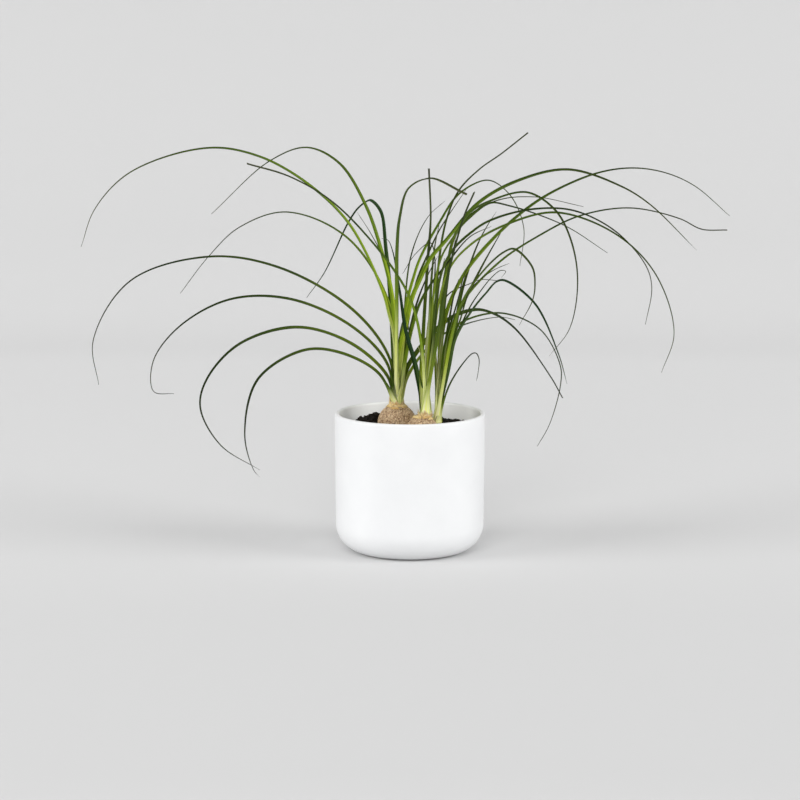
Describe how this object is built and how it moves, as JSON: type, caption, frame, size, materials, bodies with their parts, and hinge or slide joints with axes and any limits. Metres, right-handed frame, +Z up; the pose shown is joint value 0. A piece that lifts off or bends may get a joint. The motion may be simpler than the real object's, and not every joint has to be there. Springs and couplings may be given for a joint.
{
  "type": "potted ponytail palm",
  "caption": "Young ponytail palm in a round glazed pot: corky bulbs in dark soil carry heads of long, arching, grass-like leaves.",
  "frame": {"origin": "centre of the pot's flat base, on the surface that the pot stands on", "axes": "+Z up, +X to the right of the front view, -Y towards the viewer of the front view"},
  "size_m": [0.7314, 0.5005, 0.4624],
  "materials": {
    "white_glaze": "satin white glaze",
    "dark_soil": "loose damp potting soil",
    "corky_bark": "rough corky bark",
    "green_leaf": "waxy leaf"
  },
  "bodies": {
    "root": {"pot": "white_glaze", "soil": "dark_soil", "left_caudex": "corky_bark", "right_caudex": "corky_bark", "left_crown": "green_leaf", "right_crown": "green_leaf", "side_shoot": "green_leaf"}
  },
  "joints": []
}
